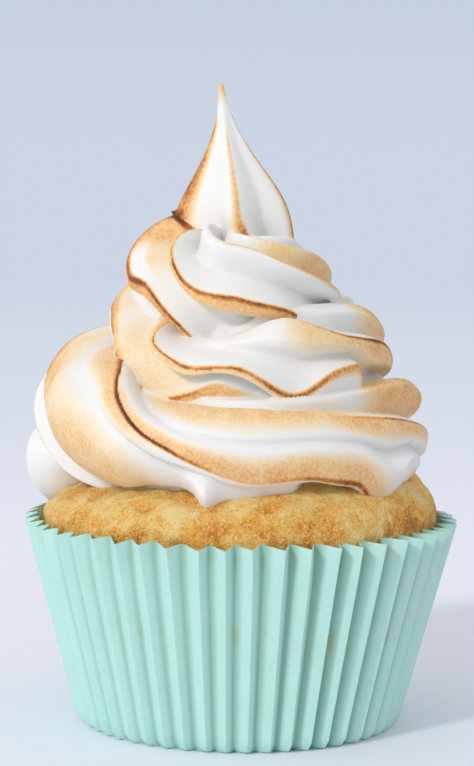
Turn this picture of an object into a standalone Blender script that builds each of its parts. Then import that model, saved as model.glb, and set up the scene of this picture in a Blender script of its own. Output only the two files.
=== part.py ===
# Cupcake in a pleated paper case with a tall piped meringue swirl.
# Metres, +Z up, origin at the centre of the case's base. Sizes below are in millimetres.
import math

import bmesh
import bpy
import numpy as np
from mathutils import Vector, noise

MM = 0.001

# Paper case
PLEATS = 50
BASE_RADIUS = 25.0
RIM_RADIUS = 34.0
RIM_HEIGHT = 31.7
RIM_RISE = 0.8
PLEAT_DEPTH = 2.7
WALL = 0.55
FLOOR = 0.5
CORNER = 0.8
WALL_LEVELS = (9.0, 17.5, 26.0)

# Cake
SIDE_GAP = 0.5
FLOOR_GAP = 0.35
FOOT_HEIGHT = 2.2
DOME_FOOT = 31.5
DOME_RADIUS = 30.2
DOME_HEIGHT = 10.3
DOME_SQUARENESS = 0.8
DOME_RINGS = 11
CRAG_DEPTH = 1.0
CRAG_SPACING = 4.5
CRAGS_END = 15.0

# Meringue rope, laid clockwise from the left and then drawn up into the peak.
# A station is (turns from the left, spiral radius, height, rope radius). Angles are in degrees.
STATIONS = (
    (-0.10, 25.0, 42.0, 8.0),
    (0.25, 23.0, 43.0, 9.5),
    (0.50, 20.5, 45.0, 9.6),
    (0.75, 20.0, 45.5, 9.2),
    (1.00, 21.0, 50.0, 10.0),
    (1.50, 15.5, 57.5, 8.7),
    (2.00, 11.5, 60.5, 9.0),
    (2.50, 8.0, 66.0, 8.4),
    (3.00, 9.0, 69.5, 9.9),
    (3.15, 3.5, 73.0, 9.6),
    (3.30, 0.5, 79.0, 8.6),
    (3.50, 0.0, 88.5, 3.2),
    (3.75, 0.0, 98.5, 0.4),
)
CREST_ANGLES = (-88, -42, 14, 70, 128, 186)
VALLEY_DEPTH = 0.37
CREST_SHARPNESS = 0.9
CREST_TURN = 26.0
FRONT_TURN = -48.0
PEAK_TURN = 3.0
TIP_LEAN = 2.8
ROUND_PULL = 10.0
SECTION_TILTS = ((2.75, 90), (3.00, 65), (3.15, 35), (3.30, 10), (3.50, 0))
RINGS = 360
RING_POINTS = 84
CORE_HEIGHTS = (38.0, 70.0)
CORE_RADII = (19.0, 5.0)
CORE_SIDES = 48
REST_GAP = 0.3
VOXEL = 0.5
SMOOTHINGS = 3
MERINGUE_TRIANGLES = 7600


def smooth(places, values, at):
    """Monotone cubic curve through values at rising places."""
    places = np.array(places, float)
    values = np.array(values, float)
    step = np.diff(places)
    slope = np.diff(values) / step
    lean = np.zeros_like(values)
    lean[0] = slope[0]
    lean[-1] = slope[-1]
    for i in range(1, len(places) - 1):
        if slope[i - 1] * slope[i] > 0:
            before = 2 * step[i] + step[i - 1]
            after = step[i] + 2 * step[i - 1]
            lean[i] = (before + after) / (before / slope[i - 1] + after / slope[i])
    at = np.clip(at, places[0], places[-1])
    i = np.clip(np.searchsorted(places, at) - 1, 0, len(places) - 2)
    t = (at - places[i]) / step[i]
    low = values[i] * (1 + 2 * t) * (1 - t) ** 2 + lean[i] * step[i] * t * (1 - t) ** 2
    high = values[i + 1] * t * t * (3 - 2 * t) + lean[i + 1] * step[i] * t * t * (t - 1)
    return low + high


def material(name, colour, roughness, subsurface=0.0):
    made = bpy.data.materials.new(name)
    made.use_nodes = True
    shader = made.node_tree.nodes["Principled BSDF"]
    shader.inputs["Base Color"].default_value = (*colour, 1)
    shader.inputs["Roughness"].default_value = roughness
    shader.inputs["Subsurface Weight"].default_value = subsurface
    made.diffuse_color = (*colour, 1)
    return made


def solid(name, points, faces):
    """One object from points in millimetres, with its faces turned outward."""
    mesh = bpy.data.meshes.new(name)
    mesh.from_pydata([tuple(MM * c for c in point) for point in points], [], faces)
    shape = bmesh.new()
    shape.from_mesh(mesh)
    bmesh.ops.recalc_face_normals(shape, faces=shape.faces)
    shape.to_mesh(mesh)
    shape.free()
    made = bpy.data.objects.new(name, mesh)
    bpy.context.collection.objects.link(made)
    return made


def stacked(rows, bottom, top):
    """Points and faces of rings laid one above the other, closed by a point at each end."""
    points = [point for row in rows for point in row]
    n = len(rows[0])
    faces = []
    for start in range(0, (len(rows) - 1) * n, n):
        for k in range(n):
            a = start + k
            b = start + (k + 1) % n
            faces.append((a, b, b + n, a + n))
    low = len(points)
    last = (len(rows) - 1) * n
    points += [bottom, top]
    for k in range(n):
        faces.append((low, (k + 1) % n, k))
        faces.append((low + 1, last + k, last + (k + 1) % n))
    return points, faces


def polar(radius, angle, z):
    return (radius * math.cos(angle), radius * math.sin(angle), z)


def fold(k, z):
    """Radius of the paper's outside at fold k: even folds point out, odd ones in."""
    radius = BASE_RADIUS + (RIM_RADIUS - BASE_RADIUS) * z / RIM_HEIGHT
    return radius - (PLEAT_DEPTH * z / RIM_HEIGHT if k % 2 else 0.0)


def fold_ring(z, inset, zigzag=True, rise=0.0):
    """Ring through all the folds at height z, set in from the paper's outside."""
    ring = []
    for k in range(2 * PLEATS):
        top = z + (rise if k % 2 else 0.0)
        radius = fold(k, top) if zigzag else BASE_RADIUS - CORNER
        ring.append(polar(radius - inset, math.pi * k / PLEATS, top))
    return ring


def make_case():
    rows = [fold_ring(0.0, 0.0, zigzag=False), fold_ring(0.3 * CORNER, 0.3 * CORNER), fold_ring(CORNER, 0.0)]
    rows += [fold_ring(z, 0.0) for z in WALL_LEVELS]
    rows += [fold_ring(RIM_HEIGHT, inset, rise=RIM_RISE) for inset in (0.0, WALL)]
    rows += [fold_ring(z, WALL) for z in WALL_LEVELS[::-1]]
    rows += [fold_ring(FLOOR + CORNER, WALL), fold_ring(FLOOR, WALL, zigzag=False)]
    points, faces = stacked(rows, (0, 0, 0), (0, 0, FLOOR))
    case = solid("paper_case", points, faces)
    case.data.materials.append(material("mint_paper", (0.35, 0.71, 0.60), 0.75))


def dome_point(angle, rise, lift=0.0):
    """Point of the dome at a compass angle, rise running from 0 at its foot to 1 at its top."""
    slant = rise * math.pi / 2
    radius = (DOME_RADIUS + lift) * max(math.cos(slant), 0.0) ** DOME_SQUARENESS
    height = DOME_FOOT + (DOME_HEIGHT + lift) * math.sin(slant) ** DOME_SQUARENESS
    return polar(radius, angle, height)


def crag(point):
    """Depth of the crust's pits below the smooth dome. It fades out under the meringue."""
    coarse = noise.noise(Vector(point) / CRAG_SPACING)
    fine = noise.noise(Vector(point) / CRAG_SPACING * 2.3)
    shown = min(1.0, math.hypot(point[0], point[1]) / CRAGS_END) ** 3
    return CRAG_DEPTH * shown * min(1.0, max(0.0, 0.5 + coarse + 0.5 * fine))


def make_cake():
    angles = [math.pi * k / PLEATS for k in range(2 * PLEATS)]
    inset = WALL + SIDE_GAP
    rows = [fold_ring(FLOOR + FLOOR_GAP, inset, zigzag=False)]
    rows += [fold_ring(z, inset) for z in (FOOT_HEIGHT,) + WALL_LEVELS]
    foot = [dome_point(angle, 0.0) for angle in angles]
    rows.append([tuple((a + b) / 2 for a, b in zip(p, q)) for p, q in zip(rows[-1], foot)])
    for step in range(DOME_RINGS):
        row = []
        for angle in angles:
            x, y, z = dome_point(angle, step / DOME_RINGS)
            kept = 1 - crag((x, y, z)) / math.hypot(x, y, z - DOME_FOOT)
            row.append((x * kept, y * kept, DOME_FOOT + (z - DOME_FOOT) * kept))
        rows.append(row)
    points, faces = stacked(rows, (0, 0, FLOOR + FLOOR_GAP), (0, 0, DOME_FOOT + DOME_HEIGHT))
    cake = solid("cake", points, faces)
    cake.data.materials.append(material("baked_crumb", (0.72, 0.42, 0.12), 0.85))


def star(phi):
    """Nozzle section over the angle phi: 1 on a crest, less in the valley between two arms."""
    crests = np.radians(np.array(CREST_ANGLES, float))
    away = (phi[:, None] - crests[None] + math.pi) % (2 * math.pi) - math.pi
    arm = np.abs(away).argmin(1)
    off = away[np.arange(len(phi)), arm]
    to_next = (np.roll(crests, -1)[arm] - crests[arm]) % (2 * math.pi)
    to_last = (crests[arm] - np.roll(crests, 1)[arm]) % (2 * math.pi)
    share = np.clip(np.where(off > 0, 2 * off / to_next, -2 * off / to_last), 0, 1)
    return 1 - VALLEY_DEPTH * share ** CREST_SHARPNESS


def make_rope():
    """Rings of the rope. Each lies across the path, and its arms keep their compass angle."""
    places, spirals, heights, thick = zip(*STATIONS)
    s = np.linspace(places[0], places[-1], RINGS)
    phi = np.linspace(0, 2 * math.pi, RING_POINTS, endpoint=False)
    azimuth = math.pi - 2 * math.pi * s
    spiral = smooth(places, spirals, s)
    drawn_up = np.clip((s - PEAK_TURN) / (places[-1] - PEAK_TURN), 0, 1)
    x = spiral * np.cos(azimuth) - TIP_LEAN * np.sqrt(drawn_up) * drawn_up
    y = spiral * np.sin(azimuth)
    ahead_x = np.gradient(x, s) + ROUND_PULL * np.sin(azimuth)
    ahead_y = np.gradient(y, s) - ROUND_PULL * np.cos(azimuth)
    speed = np.hypot(ahead_x, ahead_y)
    ahead_x = (ahead_x / speed)[:, None]
    ahead_y = (ahead_y / speed)[:, None]
    tilt = np.radians(smooth(*zip(*SECTION_TILTS), s))
    at_front = (0.5 + 0.5 * np.cos(2 * math.pi * (s - 0.75))) ** 3 * (1 - drawn_up)
    turned = phi[None] + np.radians(CREST_TURN + FRONT_TURN * at_front)[:, None]
    along = np.cos(turned) * ahead_x + np.sin(turned) * ahead_y
    across = np.sin(turned) * ahead_x - np.cos(turned) * ahead_y
    radius = smooth(places, thick, s)[:, None] * star(phi)[None]
    level = along * np.cos(tilt)[:, None]
    ring_x = x[:, None] + radius * (level * ahead_x - across * ahead_y)
    ring_y = y[:, None] + radius * (level * ahead_y + across * ahead_x)
    ring_z = smooth(places, heights, s)[:, None] - radius * along * np.sin(tilt)[:, None]
    rows = np.stack([ring_x, ring_y, ring_z], 2)
    ends = [tuple(rows[i].mean(0)) for i in (0, -1)]
    return stacked(rows.tolist(), *ends)


def apply_modifiers(thing):
    bpy.ops.object.select_all(action="DESELECT")
    bpy.context.view_layer.objects.active = thing
    thing.select_set(True)
    for name in [modifier.name for modifier in thing.modifiers]:
        bpy.ops.object.modifier_apply(modifier=name)


def make_dome_cutter():
    """The space of the cake with its gap, which the meringue's underside is cut to."""
    angles = [2 * math.pi * k / CORE_SIDES for k in range(CORE_SIDES)]
    rows = [[polar(2 * DOME_RADIUS, angle, z) for angle in angles] for z in (FLOOR, DOME_FOOT - 1)]
    for step in range(DOME_RINGS):
        rows.append([dome_point(angle, step / DOME_RINGS, REST_GAP) for angle in angles])
    top = (0, 0, DOME_FOOT + DOME_HEIGHT + REST_GAP)
    cutter = solid("dome_cutter", *stacked(rows, (0, 0, FLOOR), top))
    cutter.hide_render = True
    cutter.display_type = "WIRE"
    return cutter


def make_meringue():
    points, faces = make_rope()
    angles = [2 * math.pi * k / CORE_SIDES for k in range(CORE_SIDES)]
    cone = [[polar(r, angle, z) for angle in angles] for r, z in zip(CORE_RADII, CORE_HEIGHTS)]
    core_points, core_faces = stacked(cone, (0, 0, CORE_HEIGHTS[0]), (0, 0, CORE_HEIGHTS[1]))
    faces += [tuple(len(points) + v for v in face) for face in core_faces]
    meringue = solid("meringue", points + core_points, faces)
    meringue.data.materials.append(material("white_meringue", (0.87, 0.85, 0.80), 0.55, 0.1))
    fuse = meringue.modifiers.new("fuse", "REMESH")
    fuse.mode = "VOXEL"
    fuse.voxel_size = VOXEL * MM
    soften = meringue.modifiers.new("soften", "SMOOTH")
    soften.factor = 0.5
    soften.iterations = SMOOTHINGS
    apply_modifiers(meringue)
    lighten = meringue.modifiers.new("lighten", "DECIMATE")
    lighten.ratio = MERINGUE_TRIANGLES / (2 * len(meringue.data.polygons))
    apply_modifiers(meringue)
    rest = meringue.modifiers.new("rest", "BOOLEAN")
    rest.operation = "DIFFERENCE"
    rest.solver = "EXACT"
    rest.object = make_dome_cutter()


for old in list(bpy.data.objects):
    bpy.data.objects.remove(old, do_unlink=True)
make_case()
make_cake()
make_meringue()
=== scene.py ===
# %% [markdown]
# # A lemon meringue cupcake
# The cupcake has three pieces: a pleated paper case, the cake baked in it, and a rope of meringue that was
# piped in rounds on top and browned with a torch. The plain solids of all three are loaded first. Each is
# then replaced by a finely shaped piece at the same place and size, with a finish of its own.

# %% Load the plain solids
import math

import bmesh
import bpy
import numpy as np
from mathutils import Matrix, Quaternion, Vector, noise
from mathutils.bvhtree import BVHTree
from mathutils.interpolate import poly_3d_calc


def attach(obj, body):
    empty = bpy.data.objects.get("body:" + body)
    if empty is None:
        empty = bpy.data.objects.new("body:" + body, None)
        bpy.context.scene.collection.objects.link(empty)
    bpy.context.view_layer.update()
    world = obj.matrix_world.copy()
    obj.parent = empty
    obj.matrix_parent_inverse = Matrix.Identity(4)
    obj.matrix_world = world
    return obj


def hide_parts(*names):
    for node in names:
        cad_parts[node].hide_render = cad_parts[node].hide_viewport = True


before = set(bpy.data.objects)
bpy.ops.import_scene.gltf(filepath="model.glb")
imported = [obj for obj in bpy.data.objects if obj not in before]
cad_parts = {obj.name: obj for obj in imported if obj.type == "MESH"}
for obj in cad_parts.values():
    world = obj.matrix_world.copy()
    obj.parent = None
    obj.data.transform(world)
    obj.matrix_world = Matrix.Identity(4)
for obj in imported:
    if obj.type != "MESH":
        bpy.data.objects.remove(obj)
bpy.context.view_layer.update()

MM = 0.001
BODY = "root"
print("solids:", ", ".join(sorted(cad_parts)))

# %% [markdown]
# ## The camera
# The cupcake stands a little below the lens and nearly fills the picture. A long lens from some distance
# gives the flat view of product photography. The camera is placed first, because every later step is judged
# through it.

# %% Place the camera
PICTURE_HEIGHT = 766
FOCAL_PIXELS = 2472.6
CAMERA_PLACE = (-0.00085, -0.38027, 0.08687)
LOOK_DOWN = 0.0905
LEAN = 0.0145

camera = bpy.data.objects.new("camera", bpy.data.cameras.new("camera"))
bpy.context.scene.collection.objects.link(camera)
bpy.context.scene.camera = camera
camera.data.sensor_width = 36
camera.data.lens = FOCAL_PIXELS / PICTURE_HEIGHT * camera.data.sensor_width
ahead = Vector((0, math.cos(LOOK_DOWN), -math.sin(LOOK_DOWN)))
camera.location = CAMERA_PLACE
camera.rotation_mode = "QUATERNION"
camera.rotation_quaternion = Quaternion(ahead, -LEAN) @ ahead.to_track_quat("-Z", "Y")
print(f"lens {camera.data.lens:.0f} mm")

# %% [markdown]
# ## Small helpers
# An edit-mode operator acts on everything that is selected, so each new piece starts with nothing selected.
# A primitive is added at its size and place and named at once. Modifiers are applied one after the other.


# %% Selection and modifiers
def only(thing):
    """Select one object and nothing else, and make it the active one."""
    bpy.ops.object.select_all(action="DESELECT")
    bpy.context.view_layer.objects.active = thing
    thing.select_set(True)
    return thing


def add(primitive, name, **options):
    """Add a primitive with nothing else selected, and name it."""
    bpy.ops.object.select_all(action="DESELECT")
    primitive(**options)
    made = bpy.context.object
    made.name = name
    made.data.name = name
    return made


def add_disc(name, vertices, radius, height=0.0):
    """A filled circle, its radius and height in millimetres."""
    size = {"radius": radius * MM, "location": (0, 0, height * MM)}
    return add(bpy.ops.mesh.primitive_circle_add, name, vertices=vertices, fill_type="NGON", **size)


def edit(thing):
    """Open one object in edit mode with everything selected."""
    only(thing)
    bpy.ops.object.mode_set(mode="EDIT")
    bpy.ops.mesh.select_all(action="SELECT")


def face_outward(thing):
    """Turn all faces the right way out."""
    edit(thing)
    bpy.ops.mesh.normals_make_consistent(inside=False)
    bpy.ops.object.mode_set(mode="OBJECT")


def modify(thing, kind, **settings):
    """Add one modifier, set it and apply it."""
    modifier = only(thing).modifiers.new(kind.lower(), kind)
    for key, value in settings.items():
        setattr(modifier, key, value)
    bpy.ops.object.modifier_apply(modifier=modifier.name)


# %% [markdown]
# Coordinates go in and out of a mesh as one array in millimetres, which is quick also where a piece has half
# a million points. A number stored on each point, such as how deep in a fold it lies, is later read by a
# finish.


# %% Points in millimetres
def read_points(thing, what):
    flat = np.empty(len(thing.data.vertices) * 3)
    thing.data.vertices.foreach_get(what, flat)
    return flat.reshape(-1, 3)


def points_of(thing):
    return read_points(thing, "co") / MM


def normals_of(thing):
    return read_points(thing, "normal")


def move_points(thing, points):
    thing.data.vertices.foreach_set("co", (points * MM).ravel())
    thing.data.update()


def keep_value(thing, name, values):
    """Store one number per point, which a finish reads by its name."""
    layer = thing.data.attributes.new(name, "FLOAT", "POINT")
    layer.data.foreach_set("value", values.astype(np.float32))


# %% [markdown]
# Many sizes change along the work: the thickness of the rope, the depth of a valley. Each is given at a few
# places and joined by a smooth curve that never swings past its own values. Unevenness is Perlin noise, the
# same on every run.


# %% Smooth curves and bumps
def smooth(places, values, at):
    """Monotone cubic curve through values at rising places."""
    places = np.array(places, float)
    values = np.array(values, float)
    step = np.diff(places)
    slope = np.diff(values) / step
    lean = np.zeros_like(values)
    lean[0] = slope[0]
    lean[-1] = slope[-1]
    for i in range(1, len(places) - 1):
        if slope[i - 1] * slope[i] > 0:
            before = 2 * step[i] + step[i - 1]
            after = step[i] + 2 * step[i - 1]
            lean[i] = (before + after) / (before / slope[i - 1] + after / slope[i])
    at = np.clip(at, places[0], places[-1])
    i = np.clip(np.searchsorted(places, at) - 1, 0, len(places) - 2)
    t = (at - places[i]) / step[i]
    low = values[i] * (1 + 2 * t) * (1 - t) ** 2 + lean[i] * step[i] * t * (1 - t) ** 2
    high = values[i + 1] * t * t * (3 - 2 * t) + lean[i + 1] * step[i] * t * t * (t - 1)
    return low + high


def bumps(points, size, seed=0.0):
    """Perlin noise at each point, about -1 to 1, with lumps of the given size in millimetres."""
    shift = Vector((seed, 2 * seed, 3 * seed))
    return np.array([noise.noise(Vector(point) / size + shift) for point in points])


print("halfway up a curve from 0 to 1:", float(smooth((0, 1, 2), (0, 0.5, 1), 1.0)))

# %% [markdown]
# ## Shader maths as plain sums
# A finish mixes masks: more brown here, a little rougher there. By hand that is dozens of Math nodes. This
# small class wraps an output socket, so that `1 - mask * 0.5` adds those nodes by itself.


# %% A wire that takes part in sums
class Wire:
    """An output socket that takes part in sums."""

    def __init__(self, finish, socket):
        self.finish = finish
        self.socket = socket

    def maths(self, operation, first, second):
        return self.finish.node("ShaderNodeMath", {"operation": operation}, {0: first, 1: second})

    def __add__(self, other):
        return self.maths("ADD", self, other)

    def __radd__(self, other):
        return self.maths("ADD", other, self)

    def __sub__(self, other):
        return self.maths("SUBTRACT", self, other)

    def __rsub__(self, other):
        return self.maths("SUBTRACT", other, self)

    def __mul__(self, other):
        return self.maths("MULTIPLY", self, other)

    def __rmul__(self, other):
        return self.maths("MULTIPLY", other, self)

    def clip(self):
        return self.finish.node("ShaderNodeClamp", {}, {"Value": self})

    def between(self, low, high):
        """0 below low, 1 above high, smooth in between. With low above high it falls instead."""
        settings = {"interpolation_type": "SMOOTHSTEP"}
        ends = {"From Min": min(low, high), "From Max": max(low, high)}
        rises = {"To Min": 0.0 if low < high else 1.0, "To Max": 1.0 if low < high else 0.0}
        return self.finish.node("ShaderNodeMapRange", settings, {"Value": self, **ends, **rises})


# %% [markdown]
# The `Finish` class holds one material and adds any node: first its settings, then the values or links of
# its inputs. What every finish needs, such as noise of a given size, has a short method.


# %% One finish
class Finish:
    """One material with its Principled shader, and a method that adds any other node."""

    def __init__(self, name):
        self.material = bpy.data.materials.new(name)
        self.material.use_nodes = True
        self.tree = self.material.node_tree
        self.shader = self.tree.nodes["Principled BSDF"]

    def node(self, kind, settings, inputs, output=0):
        made = self.tree.nodes.new(kind)
        for key, value in settings.items():
            if key == "stops":
                self.set_stops(made.color_ramp, value)
            else:
                setattr(made, key, value)
        for key, value in inputs.items():
            self.join(made.inputs[key], value)
        return Wire(self, made.outputs[output])

    def set_stops(self, ramp, stops):
        while len(ramp.elements) < len(stops):
            ramp.elements.new(0.5)
        for element, (place, colour) in zip(ramp.elements, stops):
            element.position = place
            element.color = (*colour, 1)

    def join(self, socket, value):
        if isinstance(value, Wire):
            self.tree.links.new(value.socket, socket)
        elif isinstance(value, tuple) and len(value) == 3 and socket.type == "RGBA":
            socket.default_value = (*value, 1)
        else:
            socket.default_value = value

    def set(self, **sockets):
        """Set or link the shader's sockets, written with _ for each space."""
        for name, value in sockets.items():
            self.join(self.shader.inputs[name.replace("_", " ")], value)

    def place(self):
        return self.node("ShaderNodeTexCoord", {}, {}, "Object")

    def grains(self, size, detail=3.0, rough=0.5, place=None):
        """Noise from 0 to 1 with lumps of the given size in millimetres."""
        inputs = {"Vector": place or self.place(), "Scale": 1 / (size * MM)}
        return self.node("ShaderNodeTexNoise", {}, {**inputs, "Detail": detail, "Roughness": rough})

    def value(self, name):
        """The number that is stored on the points by this name."""
        return self.node("ShaderNodeAttribute", {"attribute_name": name}, {}, "Fac")

    def mix(self, share, first, second):
        """A colour from the first to the second: sockets 6 and 7 of the Mix node, and 2 of its outputs."""
        return self.node("ShaderNodeMix", {"data_type": "RGBA"}, {0: share, 6: first, 7: second}, 2)

    def part(self, vector, axis):
        return self.node("ShaderNodeSeparateXYZ", {}, {"Vector": vector}, axis)

    def ramp(self, value, stops):
        return self.node("ShaderNodeValToRGB", {"stops": stops}, {"Fac": value})

    def bump(self, height, strength, distance):
        inputs = {"Height": height, "Strength": strength, "Distance": distance * MM}
        return self.node("ShaderNodeBump", {}, inputs)

    def give(self, thing):
        thing.data.materials.clear()
        thing.data.materials.append(self.material)
        print(f"{thing.name} is finished with {self.material.name}: {len(self.tree.nodes)} nodes")


# %% [markdown]
# ## The paper case
# A baking case is a disc of thin paper pressed into fifty pleats. Each has a steep side and a wide, gentle
# one, and is deepest at the rim, where the paper flares. It could be an Array of one pleat, but then all
# would be alike. Here a filled circle is extruded upward a millimetre at a time. A point's height then tells
# its ring and its angle tells its column, and each ring is moved to its folds.

# %% Sizes of the case
PLEATS = 50
BASE_RADIUS = 25.0
RIM_RADIUS = 33.5
RIM_HEIGHT = 31.5
RIM_RISE = 0.5
PLEAT_DEPTH = 2.9
PAPER = 0.14
CORNER = 1.3
BASE_MARGIN = 2.5
CORNER_STEPS = (0.25, 0.5, 0.75)
# Where the points of one pleat lie along it, and how far out: 1 on the outer fold, 0 in the inner one.
FOLD_STEPS = (0.0, 0.05, 0.16, 0.27, 0.35, 0.47, 0.7, 0.92)
FOLD_SHAPE = (1.0, 0.9, 0.5, 0.12, 0.0, 0.14, 0.54, 0.92)
WALL_RINGS = 26
# Share of the full depth: at the base, gained up the wall, and gained by the flare at the rim.
SHARE_AT_BASE = 0.48
SHARE_UP_WALL = 0.08
SHARE_AT_RIM = 0.44
FLARE = 12
RIM_EDGE = 8
# A slow wave out and in: how many times round, size and start.
WAVES = ((3, 0.12, 1.0), (7, 0.1, 0.0))
FULL_SIDE = math.radians(20)
PAPER_CREASE = math.radians(35)
COLUMNS = PLEATS * len(FOLD_STEPS)

# %% [markdown]
# No two pleats are quite alike. Their differences are drawn from a seeded source, so the case is the same
# every time. They are also flatter at the side where a hand held the case, and full at the other side.

# %% The unevenness of the pleats
chance = np.random.default_rng(5)
pleat_shift = chance.uniform(-0.13, 0.13, PLEATS)
pleat_depth = chance.uniform(0.82, 1.1, PLEATS)
pleat_fullness = 0.85 + 0.25 * np.cos(2 * np.pi * np.arange(PLEATS) / PLEATS + FULL_SIDE)
pleat_depth = pleat_depth * pleat_fullness
pleat_lean = chance.uniform(-0.1, 0.1, PLEATS)
rim_unevenness = chance.uniform(-0.25, 0.25, PLEATS)
print("pleats from", round(pleat_depth.min(), 2), "to", round(pleat_depth.max(), 2), "of the full depth")

# %% [markdown]
# Case and cake start as the same closed prism. Its top face is extruded again and again, and each step
# leaves a ring of points.


# %% Extrude a circle upward
def draw_up(name, rings):
    """A closed prism of rings one millimetre apart, with its top and bottom faces."""
    made = add_disc(name, COLUMNS, BASE_RADIUS)
    edit(made)
    for _ in range(rings - 1):
        bpy.ops.mesh.extrude_region_move(TRANSFORM_OT_translate={"value": (0, 0, MM)})
    bpy.ops.object.mode_set(mode="OBJECT")
    return made


def ring_and_column(thing):
    """The ring that each point of such a prism is on, and its place along the ring."""
    points = points_of(thing)
    ring = np.rint(points[:, 2]).astype(int)
    column = np.rint(np.arctan2(points[:, 1], points[:, 0]) * COLUMNS / (2 * np.pi)).astype(int) % COLUMNS
    return ring, column


# %% [markdown]
# One function folds a ring at any height. The paper uses it, and so does the side of the cake, which took
# the paper's shape while it baked.


# %% Fold a ring of paper
def across_pleats(values, slot):
    """One value per pleat, blended from each pleat to the next along the ring."""
    low = np.floor(slot).astype(int)
    share = slot - low
    return values[low % PLEATS] * (1 - share) + values[(low + 1) % PLEATS] * share


fold_slot = np.repeat(np.arange(PLEATS), len(FOLD_STEPS)) + np.tile(FOLD_STEPS, PLEATS)
fold_shape = np.tile(FOLD_SHAPE, PLEATS)


def paper_ring(height, radius, share, inset=0.0):
    """Points of the pleated sheet at one height. share is how deep the pleats are there, 0 to 1."""
    lean = pleat_lean * (height / RIM_HEIGHT - 0.5)
    angle = 2 * np.pi * (fold_slot + share * across_pleats(pleat_shift + lean, fold_slot)) / PLEATS
    depth = PLEAT_DEPTH * share * across_pleats(pleat_depth, fold_slot)
    at_rim = (height / RIM_HEIGHT) ** RIM_EDGE
    rise = RIM_RISE * (1 - fold_shape) + across_pleats(rim_unevenness, fold_slot)
    wave = sum(size * np.sin(times * angle + start) for times, size, start in WAVES)
    out = radius - inset - depth * (1 - fold_shape) + wave * share
    return np.stack([out * np.cos(angle), out * np.sin(angle), height + at_rim * rise], 1)


def wall_radius(height):
    return BASE_RADIUS + (RIM_RADIUS - BASE_RADIUS) * height / RIM_HEIGHT


def wall_share(height):
    share = height / RIM_HEIGHT
    return SHARE_AT_BASE + SHARE_UP_WALL * share + SHARE_AT_RIM * share ** FLARE


print("depth of a pleat in mm at half height:", round(PLEAT_DEPTH * wall_share(RIM_HEIGHT / 2), 2))

# %% [markdown]
# The rings run from the flat base round its corner and up the wall. Deleting the prism's top face opens the
# case, and Solidify gives the sheet its thickness.


# %% Shape the case
def case_rows():
    """Height, radius and pleat share of each ring."""
    corner_start = BASE_RADIUS - CORNER
    rows = [(0.0, corner_start - BASE_MARGIN, 0.0), (0.0, corner_start, 0.1)]
    for step in CORNER_STEPS:
        turn = step * math.pi / 2
        height = CORNER * (1 - math.cos(turn))
        rows.append((height, BASE_RADIUS - CORNER * (1 - math.sin(turn)), wall_share(height)))
    for height in np.linspace(CORNER, RIM_HEIGHT, WALL_RINGS):
        rows.append((height, wall_radius(height), wall_share(height)))
    return rows


def make_case():
    rows = case_rows()
    case = draw_up("pleated_case", len(rows))
    ring, column = ring_and_column(case)
    placed = np.stack([paper_ring(*row) for row in rows])
    only(case)
    bpy.ops.object.mode_set(mode="EDIT")
    sheet = bmesh.from_edit_mesh(case.data)
    for face in sheet.faces:
        face.select_set(len(face.verts) == COLUMNS and face.calc_center_median().z > MM)
    bpy.ops.mesh.delete(type="ONLY_FACE")
    bpy.ops.object.mode_set(mode="OBJECT")
    move_points(case, placed[ring, column])
    face_outward(case)
    keep_value(case, "fold", ((1 - fold_shape) * across_pleats(pleat_fullness, fold_slot))[column])
    modify(case, "SOLIDIFY", thickness=PAPER * MM, offset=-1)
    only(case)
    bpy.ops.object.shade_smooth_by_angle(angle=PAPER_CREASE)
    return case


case = make_case()
print("case:", len(case.data.vertices), "points")

# %% [markdown]
# ## The cake
# The cake filled its case while it baked, so its side has the paper's pleats. Its top rose into a low dome
# with a craggy golden crust, a little lower to the left. A turned profile would be too even, so the same
# extruded prism is used: the lower rings lie just inside the paper, and the upper rings run up the dome,
# closest where the crust shows.

# %% Sizes of the cake
SIDE_GAP = 0.3
CAKE_FLOOR = 0.6
CAKE_BASE_MARGIN = 2.0
CAKE_SIDE_RINGS = 10
CAKE_SIDE_TOP = 27.0
DOME_FOOT = 31.2
DOME_RADIUS = 30.4
DOME_HEIGHT = 10.6
DOME_SQUARENESS = 0.8
# The dome rose unevenly: lower to the left, by this share per millimetre, and a little flat overall.
DOME_LEAN = 0.008
DOME_RISE = 0.95
SHOWN_RINGS = 44
HIDDEN_RINGS = 8
SHOWN_TURN = 62.0
TOP_TURN = 89.0
# How far the three rings between the cake's side and its dome have gone from one to the other.
SIDE_TO_DOME = (0.3, 0.6, 0.85)
LUMPS = ((7.0, 0.45), (2.6, 0.28), (1.1, 0.16))
PIT_SPACING = 2.4
PIT_START = 0.22
PIT_DEPTH = 0.9


# %% Shape the dome
def dome_lean(x):
    return DOME_RISE + DOME_LEAN * x


def dome_ring(turn, angle):
    """A ring of the dome, turn degrees up its squarish shoulder."""
    slant = math.radians(turn)
    radius = DOME_RADIUS * max(math.cos(slant), 0.0) ** DOME_SQUARENESS
    rise = DOME_HEIGHT * math.sin(slant) ** DOME_SQUARENESS
    x = radius * np.cos(angle)
    return np.stack([x, radius * np.sin(angle), DOME_FOOT + rise * dome_lean(x)], 1)


def cake_rows():
    even = 2 * np.pi * fold_slot / PLEATS
    inset = PAPER + SIDE_GAP
    rows = [paper_ring(CAKE_FLOOR, wall_radius(0.0) - CAKE_BASE_MARGIN, 0.0)]
    for height in np.linspace(CAKE_FLOOR + CORNER, CAKE_SIDE_TOP, CAKE_SIDE_RINGS):
        rows.append(paper_ring(height, wall_radius(height), wall_share(height), inset))
    foot = dome_ring(0.0, even)
    for share in SIDE_TO_DOME:
        rows.append(rows[CAKE_SIDE_RINGS] * (1 - share) + foot * share)
    turns = np.concatenate([
        np.linspace(0, SHOWN_TURN, SHOWN_RINGS),
        np.linspace(SHOWN_TURN, TOP_TURN, HIDDEN_RINGS + 1)[1:],
    ])
    return rows + [dome_ring(turn, even) for turn in turns]


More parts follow.
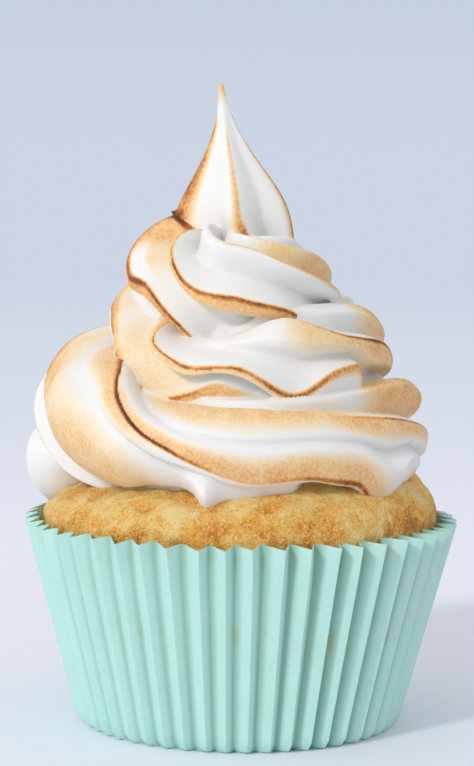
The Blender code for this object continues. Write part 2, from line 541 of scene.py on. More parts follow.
# %% [markdown]
# Lumps of three sizes and small pits are pushed into the crust along its normals, but not into the side
# behind the paper. They are stored on the points as well, because the finish makes the hollows browner and
# the lumps paler.


# %% Push the crumb into the crust
def crust_relief(points):
    """How far each point of the crust moves out (lumps) or in (pits), in millimetres."""
    moved = sum(height * bumps(points, size, seed=size) for size, height in LUMPS)
    pits = bumps(points, PIT_SPACING, seed=3.7) - 0.6 * bumps(points, 4 * PIT_SPACING, seed=1.3)
    moved -= PIT_DEPTH * np.clip(pits - PIT_START, 0, 0.5)
    return moved


def make_cake():
    rows = cake_rows()
    cake = draw_up("baked_cake", len(rows))
    ring, column = ring_and_column(cake)
    move_points(cake, np.stack(rows)[ring, column])
    face_outward(cake)
    points = points_of(cake)
    relief = crust_relief(points)
    crust = np.clip((points[:, 2] - CAKE_SIDE_TOP) / (DOME_FOOT - CAKE_SIDE_TOP), 0, 1) ** 2
    move_points(cake, points + normals_of(cake) * (relief * crust)[:, None])
    keep_value(cake, "relief", relief * crust)
    return cake


cake = make_cake()
print("cake:", len(cake.data.vertices), "points")

# %% [markdown]
# ## The meringue rope
# The meringue was piped through a star nozzle: one rope with six ridges, laid in rounds that climb inward
# and drawn up into a peak. The rope could be a curve with a star bevel, but a curve twists its section at
# will. Here a flat grid is rolled up instead: across the grid runs the star, from ridge to ridge, and along
# it run the rounds. Where the next round sat down on the rope, its upper half is pressed flatter.

# %% The rounds of the rope
# A station is turns from the left, spiral radius, height and rope radius.
STATIONS = (
    (-0.02, 25.6, 41.2, 1.0), (0.04, 25.9, 39.7, 8.5), (0.25, 23.0, 43.0, 9.5),
    (0.50, 20.0, 45.0, 9.6), (0.75, 20.0, 45.0, 9.3), (1.00, 21.0, 49.5, 10.4),
    (1.25, 18.0, 53.5, 9.5), (1.50, 15.0, 57.5, 8.7), (1.75, 13.6, 57.0, 9.3),
    (2.00, 11.0, 60.7, 9.5), (2.10, 11.9, 62.2, 9.3), (2.25, 9.8, 63.0, 8.6),
    (2.50, 7.3, 66.0, 8.4), (2.75, 10.0, 67.3, 8.8), (3.00, 8.6, 68.6, 9.3),
    (3.15, 2.5, 73.0, 9.6), (3.30, 0.5, 79.0, 8.4), (3.50, 0.0, 88.5, 3.2),
    (3.62, 0.0, 93.3, 1.25), (3.75, 0.0, 98.4, 0.35),
)
AXIS_SHIFT = -0.6
PEAK_TURN = 3.0
TIP_LEAN = 4.0
ROUND_PULL = 10.0
# The section lies across the path at 90 degrees, and stands level once the rope is drawn up.
SECTION_TILTS = ((2.75, 90), (3.0, 65), (3.15, 35), (3.3, 10), (3.5, 0))
# Turn, and the share by which the round above pressed the upper half flat.
PRESSED = (
    (0.0, 0.0), (0.5, 0.0), (0.65, 0.2), (0.75, 0.25), (0.82, 0.3), (0.9, 0.1), (1.0, 0.06),
    (1.5, 0.0), (1.68, 0.1), (1.76, 0.45), (1.9, 0.5), (2.0, 0.2), (2.25, 0.0),
)
ROPE_RINGS = 620
# The share of a round at which the rope passes the front.
FRONT = 0.75


# %% Follow the path of the nozzle
def nozzle_path(turn):
    """Centre, heading, rope radius, section tilt and share drawn up, at each turn."""
    places, spirals, heights, thick = zip(*STATIONS)
    azimuth = math.pi - 2 * math.pi * turn
    spiral = smooth(places, spirals, turn)
    drawn_up = np.clip((turn - PEAK_TURN) / (places[-1] - PEAK_TURN), 0, 1)
    x = AXIS_SHIFT * (1 - drawn_up) + spiral * np.cos(azimuth) - TIP_LEAN * drawn_up ** 1.2
    y = spiral * np.sin(azimuth)
    ahead_x = np.gradient(x, turn) + ROUND_PULL * np.sin(azimuth)
    ahead_y = np.gradient(y, turn) - ROUND_PULL * np.cos(azimuth)
    speed = np.hypot(ahead_x, ahead_y)
    centre = np.stack([x, y, smooth(places, heights, turn)], 1)
    heading = np.stack([ahead_x / speed, ahead_y / speed], 1)
    tilt = np.radians(smooth(*zip(*SECTION_TILTS), turn))
    return centre, heading, smooth(places, thick, turn), tilt, drawn_up


# %% [markdown]
# The six ridges start at uneven angles. The whole star turns back a little each time the hand passes the
# front. On top of that every ridge wanders, as soft foam does: some degrees up or down, and a few percent
# prouder or lower. A ridge's edge is a flat land. It is as narrow as the nozzle's slot in the upper rounds,
# and it spread into broad lobes in the lowest one. The flutes between the ridges are hollow.

# %% The ridges of the star
RIDGE_ANGLES = (-88, -42, 14, 70, 128, 186)
RIDGES = len(RIDGE_ANGLES)
RIDGE_COLUMNS = 18
ROPE_COLUMNS = RIDGES * RIDGE_COLUMNS
STAR_TURN = 26.0
FRONT_TURN = -48.0
# For each ridge: turn, degrees of wander, percent prouder.
RIDGE_WANDER = (
    (
        (0.3, -8, 6), (0.5, 15, -3), (0.57, 22, 3), (0.61, -4, 18), (0.645, 14, 3), (0.68, 14, 0),
        (0.75, -8, -4), (0.82, -6, -4), (0.86, 8, -4), (0.9, 28, -4), (1.05, 16, -2), (1.3, 8, 0),
        (1.5, 0, -12), (1.58, 5, 0), (1.61, 42, 3), (1.64, 34, 3), (1.69, 3, 4), (1.74, 14, 3),
        (1.81, -16, 2), (1.84, -12, 0), (1.88, 40, -4), (1.95, 30, -4), (2.05, 6, -2), (2.3, -4, 0),
        (2.5, 0, -2), (2.6, 10, -2), (2.69, 27, -2), (2.75, 13, -2), (2.82, -9, -2), (2.86, -2, -4),
        (2.93, 38, -6), (3.0, 40, 0), (3.15, 5, 0), (3.3, -25, -2),
    ),
    (
        (0.3, -8, -8), (0.44, 6, -6), (0.49, 15, -2), (0.56, 25, -3), (0.66, 34, -4), (0.72, 22, -4),
        (0.79, 3, -6), (0.84, 0, -25), (0.9, 10, -38), (1.05, 2, -2), (1.4, 2, 0), (1.5, 5, 2),
        (1.56, 20, 4), (1.62, 22, 6), (1.7, 38, 8), (1.76, 30, -15), (1.82, 5, -34), (1.95, 0, -10),
        (2.35, -2, 0), (2.5, 6, 0), (2.6, 25, 0), (2.72, 30, 2), (2.8, 10, 4), (2.9, 10, 7), (3.0, 31, 8),
        (3.25, 0, 7),
    ),
    (
        (0.3, -8, 0), (0.45, 5, 6), (0.52, 19, 8), (0.6, 28, 3), (0.8, 0, 1), (1.3, -2, -3), (1.44, 4, -8),
        (1.56, 28, -5), (1.8, 0, 0), (2.3, -5, -4), (2.5, 2, -8), (2.6, 16, -8), (2.7, 12, -6),
        (2.85, 0, -3), (3.0, 0, -2),
    ),
    ((0.0, 0, 0), (3.7, 0, 0)),
    (
        (0.8, 0, 0), (0.95, 0, 10), (0.985, 2, 6), (1.01, 10, 8), (1.03, 17, 10), (1.1, 25, 12),
        (1.25, 11, 4), (1.45, 0, 0), (2.9, 0, 0), (3.15, -18, 0),
    ),
    (
        (0.6, 5, -10), (0.665, 8, -8), (0.7, 32, -4), (0.76, 34, 0), (0.777, 48, 20), (0.793, 40, -10),
        (0.81, 28, -20), (0.835, 8, -20), (0.87, -12, -5), (0.9, -26, -6), (0.955, -48, -12),
        (0.985, -32, -16), (1.01, 0, -5), (1.04, 14, 3), (1.15, 16, 0), (1.3, 5, 0), (1.5, 5, 0),
        (1.6, 13, -10), (1.7, 60, -20), (1.76, 76, -8), (1.8, 45, 0), (1.85, 0, 2), (1.89, -16, 4),
        (1.94, 4, -6), (2.05, -10, 0), (2.3, 0, 0), (2.5, 15, 0), (2.7, 30, 0), (2.78, 0, 8), (2.83, 32, 4),
        (2.87, 36, 0), (2.93, 10, 0), (3.0, 2, 0), (3.12, -18, 4), (3.2, -22, 12), (3.3, -22, 4),
    ),
)

# %% [markdown]
# A ridge that isn't named in these tables has the plain spread and depth. The others differ where a round
# lies on them, or where the bag was squeezed harder.

# %% Lands and valleys
# The share of the way to the next ridge that a land spreads, above and below its ridge, by turn.
PLAIN_ABOVE = ((0.0, 0.03), (3.7, 0.05))
PLAIN_BELOW = ((0.0, 0.22), (2.0, 0.22), (2.6, 0.14), (3.2, 0.05))
LAND_ABOVE = {
    0: ((0.3, 0.15), (0.47, 0.2), (0.57, 0.42), (0.86, 0.45), (0.92, 0.1), (1.15, 0.03)),
    1: ((0.3, 0.05), (0.55, 0.05), (0.62, 0.15), (0.7, 0.4), (0.75, 0.55), (0.8, 0.5), (0.95, 0.2),
        (1.15, 0.03)),
    5: ((0.6, 0.05), (0.8, 0.4), (1.1, 0.45), (1.3, 0.03)),
}
LAND_BELOW = {
    0: ((0.3, 0.05), (0.7, 0.05), (0.82, 0.22), *PLAIN_BELOW[1:]),
    1: ((0.3, 0.2), (0.5, 0.35), (0.82, 0.35), (0.9, 0.12), (1.35, 0.12), (1.48, 0.12), (1.58, 0.3),
        (1.7, 0.35), (1.85, 0.1)),
    2: ((0.3, 0.3), (0.42, 0.2), (0.55, 0.2), (0.7, 0.3), (0.9, 0.2), (1.3, 0.2), (1.45, 0.4), (1.6, 0.4),
        (1.75, 0.12)),
    5: ((0.6, 0.04), (1.1, 0.04), (1.3, 0.2), *PLAIN_BELOW[1:]),
}
# How deep the valley above a ridge is, as a share of the rope's radius, by turn.
PLAIN_DEPTH = (
    (0.0, 0.0), (0.1, 0.05), (0.4, 0.42), (1.0, 0.42), (1.4, 0.45), (2.9, 0.45), (3.3, 0.28), (3.7, 0.2),
)
VALLEY_DEPTH = {
    0: ((0.0, 0.0), (0.1, 0.05), (0.4, 0.42), (0.6, 0.42), (0.68, 0.3), (0.9, 0.3), (1.0, 0.42),
        (1.4, 0.45), (1.5, 0.32), (1.8, 0.32), (2.0, 0.45), (2.3, 0.28), (2.55, 0.28), (2.7, 0.45),
        *PLAIN_DEPTH[-3:]),
    5: ((0.4, 0.42), (0.55, 0.5), (0.675, 0.5), (0.7, 0.14), (0.77, 0.14), (0.8, 0.3), (1.0, 0.34),
        *PLAIN_DEPTH[-4:]),
}
# A valley is lowest at this share of the way to the next ridge, and halfway where the rope is drawn up.
VALLEY_PLACE = 0.72
DRAWN_VALLEY_PLACE = 0.5
HOLLOW = 1.45
# A valley narrower than this share of the way between its ridges is shallower too.
FULL_VALLEY = 0.75


# %% [markdown]
# Across the rope, a hollow flank leads from one ridge down to the valley, and a rounder overhang leads up
# from there under the next ridge.


# %% Draw the star
def ridge_lines(turn, drawn_up):
    """For every ridge: angle in radians, size, spreads of its land and depth of its valley, at each turn."""
    at_front = (0.5 + 0.5 * np.cos(2 * math.pi * (turn - FRONT))) ** 3 * (1 - drawn_up)
    lines = []
    for ridge, (start, wander) in enumerate(zip(RIDGE_ANGLES, RIDGE_WANDER)):
        places, degrees, percent = zip(*wander)
        angle = start + STAR_TURN + FRONT_TURN * at_front + smooth(places, degrees, turn)
        size = 1 + smooth(places, percent, turn) / 100
        above = smooth(*zip(*LAND_ABOVE.get(ridge, PLAIN_ABOVE)), turn)
        below = smooth(*zip(*LAND_BELOW.get(ridge, PLAIN_BELOW)), turn)
        depth = smooth(*zip(*VALLEY_DEPTH.get(ridge, PLAIN_DEPTH)), turn)
        lines.append((np.radians(angle), size, above, below, depth))
    return np.array(lines)


def star_section(turn, column, drawn_up):
    """Angle, relative radius and share of crest round the rope. Columns 0 to 6 run from ridge to ridge."""
    lines = ridge_lines(turn, drawn_up)
    ridge = int(column) % RIDGES
    on = column - int(column)
    low_angle, low_size, low_land, _, depth = lines[ridge]
    high_angle, high_size, _, high_land, _ = lines[(ridge + 1) % RIDGES]
    angle = low_angle + on * ((high_angle - low_angle) % (2 * math.pi))
    between = np.clip((on - low_land) / (1 - low_land - high_land), 0, 1)
    valley = VALLEY_PLACE * (1 - drawn_up) + DRAWN_VALLEY_PLACE * drawn_up
    rising = between > valley
    flank = (1 - np.clip(between / valley, 0, 1)) ** HOLLOW
    overhang = 0.5 - 0.5 * np.cos(math.pi * np.clip((between - valley) / (1 - valley), 0, 1))
    crest = np.where(rising, overhang, flank)
    size = np.where(rising, high_size, low_size)
    depth = depth * np.clip((1 - low_land - high_land) / FULL_VALLEY, 0, 1) ** 0.6
    return angle, (1 - depth) + (size - 1 + depth) * crest, crest


# %% [markdown]
# Now the grid is rolled up. Its columns lie closer together near the ridges, where the section bends most.


# %% Roll the grid into the rope
def rope_line(turn, column):
    """Points of one column of the rope, and the share of crest at each."""
    centre, heading, thick, tilt, drawn_up = nozzle_path(turn)
    angle, size, crest = star_section(turn, column, drawn_up)
    along = np.cos(angle) * heading[:, 0] + np.sin(angle) * heading[:, 1]
    across = np.sin(angle) * heading[:, 0] - np.cos(angle) * heading[:, 1]
    radius = thick * size
    level = radius * along * np.cos(tilt)
    rise = -radius * along * np.sin(tilt)
    rise = np.where(rise > 0, rise * (1 - smooth(*zip(*PRESSED), turn)), rise)
    x = centre[:, 0] + level * heading[:, 0] - radius * across * heading[:, 1]
    y = centre[:, 1] + level * heading[:, 1] + radius * across * heading[:, 0]
    return np.stack([x, y, centre[:, 2] + rise], 1), crest


def make_rope():
    """The rolled rope, and the turn, column and share of crest of its points."""
    cells = {"x_subdivisions": ROPE_COLUMNS, "y_subdivisions": ROPE_RINGS}
    rope = add(bpy.ops.mesh.primitive_grid_add, "piped_meringue", size=1, **cells)
    flat = points_of(rope) * MM + 0.5
    column = np.rint(flat[:, 0] * ROPE_COLUMNS).astype(int)
    turn = STATIONS[0][0] + (STATIONS[-1][0] - STATIONS[0][0]) * flat[:, 1]
    placed = np.empty_like(flat)
    crest = np.empty(len(flat))
    ridge_share = np.empty(len(flat))
    for one in range(ROPE_COLUMNS + 1):
        on = one % RIDGE_COLUMNS / RIDGE_COLUMNS
        share = one // RIDGE_COLUMNS + 0.5 - 0.5 * math.cos(math.pi * on)
        rows = np.flatnonzero(column == one)
        rows = rows[np.argsort(turn[rows])]
        placed[rows], crest[rows] = rope_line(turn[rows], share)
        ridge_share[rows] = share
    move_points(rope, placed)
    return rope, turn, ridge_share, crest


rope, rope_turn, rope_column, rope_crest = make_rope()
rope_points = points_of(rope)
rope_faces = [list(face.vertices) for face in rope.data.polygons]
print("rope:", len(rope_points), "points, top at", round(rope_points[:, 2].max(), 1), "mm")

# %% [markdown]
# Piped rounds sink into one another where they touch, and no seam is left inside. A Boolean union would keep
# knife-sharp joints. A voxel remesh of the rope and a plain core inside it melts them together as soft
# meringue does, and a pass of the Smooth modifier takes the voxel steps off.

# %% Fuse the rounds
# Height and radius of each ring of the core.
CORE_RINGS = (
    (38.0, 22.0), (46.0, 22.0), (52.0, 20.5), (58.0, 14.0), (65.0, 13.0), (68.0, 7.0), (73.0, 4.0),
)
CORE_SIDES = 64
VOXEL = 0.27


def close_rope(thing):
    """Weld the seam along the rope and fill its two ends."""
    edit(thing)
    bpy.ops.mesh.remove_doubles(threshold=1e-6)
    bpy.ops.mesh.select_all(action="DESELECT")
    bpy.ops.mesh.select_mode(type="EDGE")
    bpy.ops.mesh.select_non_manifold()
    bpy.ops.mesh.edge_face_add()
    bpy.ops.object.mode_set(mode="OBJECT")
    face_outward(thing)


def make_core():
    """A stack of rings, each drawn up from the last, which fills the middle of the rounds."""
    height, radius = CORE_RINGS[0]
    core = add_disc("core", CORE_SIDES, radius, height)
    edit(core)
    for (low, wide), (high, narrow) in zip(CORE_RINGS, CORE_RINGS[1:]):
        bpy.ops.mesh.extrude_region_move(TRANSFORM_OT_translate={"value": (0, 0, (high - low) * MM)})
        bpy.ops.transform.resize(value=(narrow / wide, narrow / wide, 1), center_override=(0, 0, high * MM))
    bpy.ops.object.mode_set(mode="OBJECT")
    face_outward(core)
    return core


def fuse_rounds(thing):
    core = make_core()
    only(thing)
    core.select_set(True)
    bpy.ops.object.join()
    modify(thing, "REMESH", mode="VOXEL", voxel_size=VOXEL * MM)
    modify(thing, "SMOOTH", factor=0.5, iterations=1)


close_rope(rope)
fuse_rounds(rope)
meringue = rope
print("fused:", len(meringue.data.vertices), "points")

# %% [markdown]
# Where the lowest round lies on the cake it takes the dome's shape. Every point that would be inside the
# dome is pushed straight out onto it, a hair below the crust's mean surface, so no gap shows along the
# contact.

# %% Rest the meringue on the dome
SINK = 0.8


def rest_on_dome(thing):
    points = points_of(thing)
    power = 2 / DOME_SQUARENESS
    radius = np.hypot(points[:, 0], points[:, 1])
    above = np.maximum(points[:, 2] - DOME_FOOT, 0.01) / dome_lean(points[:, 0])
    level = (radius / (DOME_RADIUS - SINK)) ** power + (above / (DOME_HEIGHT - SINK)) ** power
    stretch = np.where(level < 1, level ** (-1 / power), 1)
    points[:, :2] *= stretch[:, None]
    points[:, 2] = np.where(level < 1, DOME_FOOT + above * stretch * dome_lean(points[:, 0]), points[:, 2])
    move_points(thing, points)


rest_on_dome(meringue)


# %% [markdown]
# The remesh forgot which ridge each point is on, and the torch has to know. So each point looks up the
# nearest face of the rope that was rolled, and takes its turn and column, weighed between the face's
# corners. Without the weighing, the edges of the browning would show steps.


# %% Look up the rope under each point
def rope_under(points):
    """Turn, column and share of crest at the nearest place of the rope."""
    tree = BVHTree.FromPolygons(rope_points.tolist(), rope_faces)
    found = np.empty((len(points), 3))
    known = np.stack([rope_turn, rope_column, rope_crest], 1)
    for i, point in enumerate(points.tolist()):
        place, _, face, _ = tree.find_nearest(point)
        corners = rope_faces[face]
        weights = poly_3d_calc([Vector(rope_points[corner]) for corner in corners], place)
        found[i] = np.array(weights) @ known[corners]
    return found.T


turn_here, column_here, crest_here = rope_under(points_of(meringue))
print("turns found:", round(turn_here.min(), 2), "to", round(turn_here.max(), 2))

# %% [markdown]
# ## Where the torch browned it
# A torch browns what stands proud and faces out: the edges of the ridges first, then the swelling faces
# beside them, and hardly the hollows. This could be worked out from how far each point stands off its
# surroundings, but a real torch follows a hand. So every pass is a stroke along one ridge: wide and weak for
# the tan of a face, narrow and strong for the dark line along an edge. Round the back the ridges' outer
# faces are browned plainly.

# %% The strokes of the torch
# A stroke is its ridge, the turns from and to, its sharp side, the side where it fades out, and how strongly
# it browned. Sides are shares of the way to the next ridge, above 0 over the ridge, below 0 under it.
TORCH_STROKES = (
    (5, 0.84, 1.03, -0.03, 0.74, 0.33), (5, 0.90, 1.00, -0.03, 0.05, 0.16),
    (5, 1.015, 1.12, -0.12, 0.22, 0.75), (0, 0.83, 0.97, 0.05, -0.34, 0.32),
    (0, 0.79, 0.96, 0.05, -0.06, 0.56), (0, 0.70, 0.87, -0.04, 0.50, 0.33),
    (0, 0.61, 0.71, -0.05, 0.52, 0.32), (0, 0.61, 0.71, -0.06, 0.04, 0.36),
    (0, 0.49, 0.56, -0.06, 0.25, 0.50), (1, 0.51, 0.65, 0.10, -0.40, 0.34),
    (1, 0.63, 0.85, 0.54, -0.42, 0.33), (1, 0.53, 0.62, 0.10, 0.02, 0.40),
    (2, 0.32, 0.60, 0.14, -0.80, 0.42), (2, 0.32, 0.53, 0.14, 0.02, 0.30),
    (4, 0.97, 1.10, 0.04, -0.05, 0.45), (0, 1.68, 1.93, 0.04, -0.36, 0.32),
    (0, 1.74, 1.91, 0.05, -0.05, 0.46), (0, 1.67, 1.74, 0.04, -0.12, 0.45),
    (0, 1.58, 1.68, 0.06, -0.12, 0.50), (5, 1.72, 1.90, 0.05, -0.42, 0.36),
    (5, 1.79, 1.88, 0.05, -0.06, 0.42), (5, 1.87, 2.10, -0.08, 0.12, 0.58),
    (5, 1.80, 1.94, 0.05, 0.70, 0.20), (5, 1.97, 2.10, 0.05, 0.60, 0.17),
    (1, 1.42, 1.69, 0.04, -0.60, 0.34), (1, 1.41, 1.66, 0.05, -0.05, 0.45),
    (2, 1.36, 1.56, 0.08, -0.80, 0.42), (2, 1.36, 1.52, 0.08, -0.02, 0.25),
    (0, 2.62, 2.96, 0.05, -0.34, 0.36), (0, 2.66, 2.93, 0.05, -0.05, 0.36),
    (5, 2.78, 2.98, 0.05, -0.34, 0.44), (5, 2.79, 2.97, 0.05, -0.05, 0.34),
    (5, 2.88, 3.00, 0.20, 0.80, 0.20), (5, 2.98, 3.20, -0.20, 0.70, 0.40),
    (5, 2.98, 3.20, -0.20, 0.12, 0.50), (1, 2.52, 2.79, 0.05, -0.08, 0.40),
    (1, 2.48, 2.66, 0.03, 0.90, 0.32), (2, 2.46, 2.72, 0.10, -0.45, 0.34),
    (5, 3.12, 3.62, -0.16, 0.38, 0.62), (5, 3.08, 3.28, -0.16, 0.30, 0.40),
    (0, 3.10, 3.30, 0.08, -0.22, 0.34), (0, 3.22, 3.58, 0.06, -0.10, 0.36),
    (1, 3.12, 3.66, 0.16, -0.20, 0.62),
)
TIP_TURN = 3.69
TIP_STRENGTH = 0.4
print(len(TORCH_STROKES), "strokes of the torch")

# %% [markdown]
# The strokes are summed into one number per point while the mesh is at its finest, so that the edges of the
# browning come out smooth.

# %% Play the torch over it
TURN_SOFTNESS = 0.035
TIP_SOFTNESS = 0.05
EDGE_SOFTNESS = 0.03
# A stroke is at its full strength from this far in from its faded side, as a share of its width.
FULL_FROM = 0.64
# The plain browning starts this far behind the middle, and over this many millimetres.
BACK_START = 12
BACK_SOFTNESS = 4
BACK_STRENGTH = 0.5
# What the flame reaches at the back: anything a little, more what faces out, and what faces up.
REACHED_ANYWAY = 0.25
REACHED_FACING_OUT = 0.55
REACHED_FACING_UP = 0.5
# Share of crest where the outer face of a ridge begins, and over how much of it.
OUTER_FACE = 0.75
OUTER_SOFTNESS = 0.2
# Share of the listed strokes that goes out where the plain browning comes in.
HANDED_OVER = 0.7


def soft_step(values, edge, softness):
    """0 below the edge and 1 above it, smooth over the softness on both sides."""
    share = np.clip((values - edge) / (2 * softness) + 0.5, 0, 1)
    return share * share * (3 - 2 * share)


def torch_strokes(turn, column):
    """Sum of the strokes at each point, each sharp on one side and fading towards the other."""
    total = TIP_STRENGTH * soft_step(turn, TIP_TURN, TIP_SOFTNESS)
    for ridge, start, end, sharp, faded, strength in TORCH_STROKES:
        share = (column - ridge + RIDGES / 2) % RIDGES - RIDGES / 2
        across = soft_step((share - faded) / (sharp - faded), FULL_FROM / 2, FULL_FROM / 2)
        inside = soft_step((sharp - share) * np.sign(sharp - faded), 0.0, EDGE_SOFTNESS)
        along = soft_step(turn, start, TURN_SOFTNESS) * (1 - soft_step(turn, end, TURN_SOFTNESS))
        total += strength * across * inside * along
    return total


def toast_of(thing):
    """The strokes at the front, and plain browning of the ridges' outer faces all round the back."""
    normal = normals_of(thing)
    points = points_of(thing)
    at_back = soft_step(points[:, 1], BACK_START, BACK_SOFTNESS) * (turn_here < PEAK_TURN)
    out = points[:, :2] / (np.hypot(points[:, 0], points[:, 1])[:, None] + 1)
    facing = REACHED_FACING_OUT * (normal[:, :2] * out).sum(1) + REACHED_FACING_UP * normal[:, 2]
    reached = np.clip(REACHED_ANYWAY + facing, 0, 1)
    plain = at_back * reached * BACK_STRENGTH * soft_step(crest_here, OUTER_FACE, OUTER_SOFTNESS)
    return plain + torch_strokes(turn_here, column_here) * (1 - HANDED_OVER * at_back)


toast_here = toast_of(meringue)
keep_value(meringue, "toast", toast_here)
print("toasted points:", int((toast_here > 0.1).sum()), "of", len(toast_here))

# %% [markdown]
# The shape needs far fewer triangles. The Decimate modifier takes points away where the surface is smooth,
# and a vertex group leaves out the points beside a toasted edge, which stays as fine as it is.

# %% Thin the mesh
TRIANGLES = 190000
EDGE_STEP = 0.04


def thin_out(thing):
    ends = np.empty(len(thing.data.edges) * 2, dtype=np.int32)
    thing.data.edges.foreach_get("vertices", ends)
    first, second = ends.reshape(-1, 2).T
    steep = np.abs(toast_here[first] - toast_here[second]) > EDGE_STEP
    edges = np.zeros(len(toast_here), bool)
    edges[first[steep]] = True
    edges[second[steep]] = True
    group = thing.vertex_groups.new(name="plain")
    group.add(np.flatnonzero(~edges).tolist(), 1.0, "REPLACE")
    ratio = TRIANGLES / (2 * len(thing.data.polygons))
    modify(thing, "DECIMATE", ratio=ratio, vertex_group=group.name, vertex_group_factor=1.0)
    thing.vertex_groups.clear()
    print("kept beside toasted edges:", int(edges.sum()), "points")


thin_out(meringue)
print("thinned:", len(meringue.data.vertices), "points")

# %% [markdown]
# ## The finish of the meringue
# Raw meringue is a dense white foam: light enters it and comes out again close by, which a subsurface share
# gives. Toasting goes from cream over tan and orange-brown to dark brown on the thinnest edges. It is
# grainy, because bubbles brown unevenly, and it dulls the surface.

# %% Meringue
white = Finish("meringue")
place = white.place()
speckle = white.grains(0.5, detail=4, rough=0.6, place=place)
cloud = white.grains(3.5, detail=3, place=place)
patch = white.grains(9.0, detail=2, place=place)
toast = (white.value("toast") * (cloud * 0.7 + patch * 0.9 + 0.2) - 0.04).clip()
grainy = (toast + toast * (1 - toast) * (speckle - 0.5) * 2.4).clip()
MERINGUE_STOPS = (
    (0.00, (0.87, 0.868, 0.855)),
    (0.10, (0.91, 0.79, 0.62)),
    (0.24, (0.91, 0.65, 0.36)),
    (0.40, (0.84, 0.47, 0.18)),
    (0.56, (0.58, 0.24, 0.07)),
    (0.74, (0.26, 0.08, 0.025)),
    (1.00, (0.11, 0.035, 0.018)),
)
white.set(
    Base_Color=white.ramp(grainy, MERINGUE_STOPS),
    Roughness=grainy * 0.25 + 0.5,
    Normal=white.bump(speckle * (grainy * 0.7 + 0.3), 0.35, 0.12),
    Subsurface_Weight=0.4,
    Subsurface_Scale=0.004,
    Subsurface_Radius=(1.0, 0.9, 0.8),
    Specular_IOR_Level=0.35,
)
white.give(meringue)

# %% [markdown]
# ## The finish of the crust
# The crust baked golden, and deeper low down, near the hot case. It has cloudy patches, fine specks and
# grains of sugar that catch the light, and the finish makes its hollows browner and its lumps paler. One
# colour would look like plastic. So noise of four sizes is added up into a single measure of browning, and
# a ramp turns that into colour.

# %% Cake
crumb = Finish("baked_crust")
place = crumb.place()
patches = crumb.grains(6.0, detail=4, rough=0.6, place=place)
blotches = crumb.grains(2.2, detail=3, place=place)
crumbs = crumb.grains(0.8, detail=4, rough=0.7, place=place)
fine_crumb = crumb.grains(0.4, detail=3, rough=0.7, place=place)
raised = crumb.value("relief")
height = crumb.part(place, "Z") * (1 / MM)
baked = (patches - 0.5) * 1.6 + (blotches - 0.5) * 1.2 + height.between(40.0, 31.0) * 0.3 + 0.17
# The stored relief makes the lumps paler and the hollows browner.
brown = baked + (crumbs - 0.5) * 1.1 + (fine_crumb - 0.5) * 1.1 - raised * 0.5
CRUST_STOPS = (
    (0.00, (0.93, 0.68, 0.27)),
    (0.35, (0.90, 0.51, 0.10)),
    (0.65, (0.82, 0.36, 0.045)),
    (1.00, (0.52, 0.19, 0.02)),
)
sparkle = crumb.grains(0.3, detail=1, place=place).between(0.60, 0.72)
crust_colour = crumb.mix(sparkle * 0.7, crumb.ramp(brown.clip(), CRUST_STOPS), (0.95, 0.88, 0.68))
crumb.set(
    Base_Color=crust_colour,
    Roughness=0.75 - sparkle * 0.4,
    Normal=crumb.bump(crumbs + fine_crumb * 0.6, 0.9, 0.45),
    Subsurface_Weight=0.1,
    Subsurface_Scale=0.001,
)
crumb.give(cake)

# %% [markdown]
# ## The finish of the paper
# Baking paper is thin, matt and faintly fibrous. Its inner folds, where it lies on the cake, are painted
# a darker green: a painted shade for the shaded sides of the pleats. Grease has soaked through in spots
# there and along the rim. How deep in a fold a point lies was stored when the paper was folded, so the
# finish only reads it.

# %% Paper
paper = Finish("mint_paper")
place = paper.place()
fibres = paper.grains(0.3, detail=4, rough=0.65, place=place)
clouds = paper.grains(6.0, detail=2, place=place)
height = paper.part(place, "Z") * (1 / MM)
fold = paper.value("fold")
shade = (fibres - 0.5) * 0.55 + (clouds - 0.5) * 0.25 + 0.5
mint = paper.mix(shade.clip(), (0.37, 0.69, 0.60), (0.66, 0.92, 0.87))
# Painted shade: the deeper a point lies in a fold, the more it is mixed towards a dark green.
mint = paper.mix(fold.between(0.4, 1.05) * 0.9, mint, (0.24, 0.48, 0.38))
tall = paper.node("ShaderNodeVectorMath", {"operation": "MULTIPLY"}, {0: place, 1: (1.0, 1.0, 0.35)})
grease = paper.grains(1.5, detail=2, place=tall).between(0.50, 0.66)
grease = grease * fold.between(0.5, 0.95) * height.between(13.0, 17.0) * height.between(22.0, 18.5)
oily_rim = paper.grains(3.0, detail=2, place=place).between(0.4, 0.65) * fold.between(0.4, 1.0)
stain = (grease * 0.55 + oily_rim * height.between(26.0, 30.0) * 0.25).clip()
paper.set(
    Base_Color=paper.mix(stain, mint, (0.42, 0.42, 0.16)),
    Roughness=0.6,
    Normal=paper.bump(fibres, 0.4, 0.08),
)
paper.give(case)

# %% [markdown]
# ## Floor, light and the last steps
# The cupcake stands in a pale room, with the sun from the front left. Large lamps could light the room, but
# a world whose colour changes with the direction is softer still. It is bright all round, and dimmer
# overhead and on the sun's own side. Low down at the right it is dark, which draws the shaded sides of the
# pleats, and straight ahead it is the blue-grey backdrop.

# %% The room
BACKDROP_TOP = (0.56, 0.63, 0.75)
BACKDROP_LOW = (0.61, 0.67, 0.78)
BACKDROP_NEAR = (0.70, 0.74, 0.84)
ROOM = (1.04, 1.04, 1.045)
CEILING = (0.62, 0.63, 0.66)
DARK_SIDE = (0.07, 0.08, 0.10)
SUN_SIDE = (0.80, 0.80, 0.80)
TO_SUN_SIDE = (-0.66, -0.60, 0.45)


class Room(Finish):
    """The world, wired with the same class as the materials."""

    def __init__(self, name):
        self.world = bpy.data.worlds.new(name)
        self.world.use_nodes = True
        self.tree = self.world.node_tree
        self.shader = self.tree.nodes["Background"]


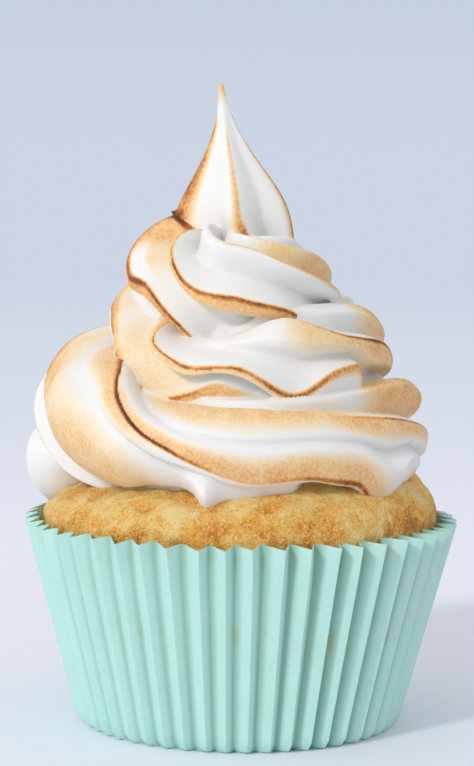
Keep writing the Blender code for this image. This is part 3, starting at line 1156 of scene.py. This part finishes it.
def room_colour(finish, direction, backdrop):
    """The colour of the room in a direction of the world, with the given backdrop straight ahead."""
    sides = {0: direction, 1: TO_SUN_SIDE}
    towards = finish.node("ShaderNodeVectorMath", {"operation": "DOT_PRODUCT"}, sides, "Value")
    up = finish.part(direction, "Z")
    lit = finish.mix(towards.between(-0.6, 0.9), ROOM, SUN_SIDE)
    lit = finish.mix(up.between(0.35, 0.95), lit, CEILING)
    lit = finish.mix(finish.part(direction, "X").between(0.0, 0.5) * up.between(0.4, 0.0), lit, DARK_SIDE)
    return finish.mix(finish.part(direction, "Y").between(0.80, 0.95), lit, backdrop)


room = Room("soft_room")
direction = room.node("ShaderNodeTexCoord", {}, {}, "Generated")
upward = room.part(direction, "Z").between(0.0, 0.08)
room.set(Color=room_colour(room, direction, room.mix(upward, BACKDROP_LOW, BACKDROP_TOP)), Strength=1.0)
bpy.context.scene.world = room.world
print("world:", len(room.tree.nodes), "nodes")

# %% [markdown]
# The floor is a large pale disc, matt near the cupcake to catch its shadow. Further out it takes the colour
# of the room behind it, so no horizon line shows.

# %% Floor
FLOOR_RADIUS = 6000
FLOOR_DROP = 0.05

floor = add_disc("floor", 128, FLOOR_RADIUS, -FLOOR_DROP)
ground = Finish("pale_floor")
ground.set(
    Base_Color=ground.mix(ground.grains(60.0, detail=2), (0.86, 0.87, 0.955), (0.885, 0.89, 0.98)),
    Roughness=0.9,
    Specular_IOR_Level=0.1,
)
away = ground.place()
far = ground.node("ShaderNodeVectorMath", {"operation": "LENGTH"}, {0: away}, "Value")
outward = ground.node("ShaderNodeVectorMath", {"operation": "NORMALIZE"}, {0: away})
backdrop = ground.mix(far.between(0.1, 1.4), BACKDROP_NEAR, BACKDROP_LOW)
behind = room_colour(ground, outward, backdrop)
glow = ground.node("ShaderNodeEmission", {}, {"Color": behind, "Strength": 1.0})
blend = ground.node("ShaderNodeMixShader", {}, {0: far.between(0.12, 0.45)})
ground.tree.links.new(ground.shader.outputs[0], blend.socket.node.inputs[1])
ground.tree.links.new(glow.socket, blend.socket.node.inputs[2])
ground.tree.links.new(blend.socket, ground.tree.nodes["Material Output"].inputs["Surface"])
ground.give(floor)

# %% [markdown]
# One sun gives the light its direction. It is eight degrees wide, as through a thin curtain, so the shadow's
# edge is soft.

# %% Light
SUN_DIRECTION = Vector((0.56, 0.76, -0.54))
sun = bpy.data.objects.new("sun", bpy.data.lights.new("sun", "SUN"))
bpy.context.scene.collection.objects.link(sun)
sun.data.energy = 1.15
sun.data.angle = math.radians(8)
sun.data.color = (1.0, 0.985, 0.95)
sun.rotation_mode = "QUATERNION"
sun.rotation_quaternion = SUN_DIRECTION.to_track_quat("-Z", "Y")
bpy.context.scene.view_settings.view_transform = "Standard"
print("sun at", round(math.degrees(math.asin(-SUN_DIRECTION.normalized().z))), "degrees above the floor")

# %% [markdown]
# Last, the two soft pieces are shaded smooth, and every piece is given the body that it rides on, and
# the plain solid that it replaces is hidden. The number of triangles of each piece is printed.

# %% Hand the pieces over and print their triangles
for piece in (meringue, cake):
    only(piece)
    bpy.ops.object.shade_smooth()
for piece, node in ((meringue, "meringue"), (cake, "cake"), (case, "paper_case")):
    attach(piece, BODY)
    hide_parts(node)
    print(f"{piece.name}: {sum(len(face.vertices) - 2 for face in piece.data.polygons)} triangles")
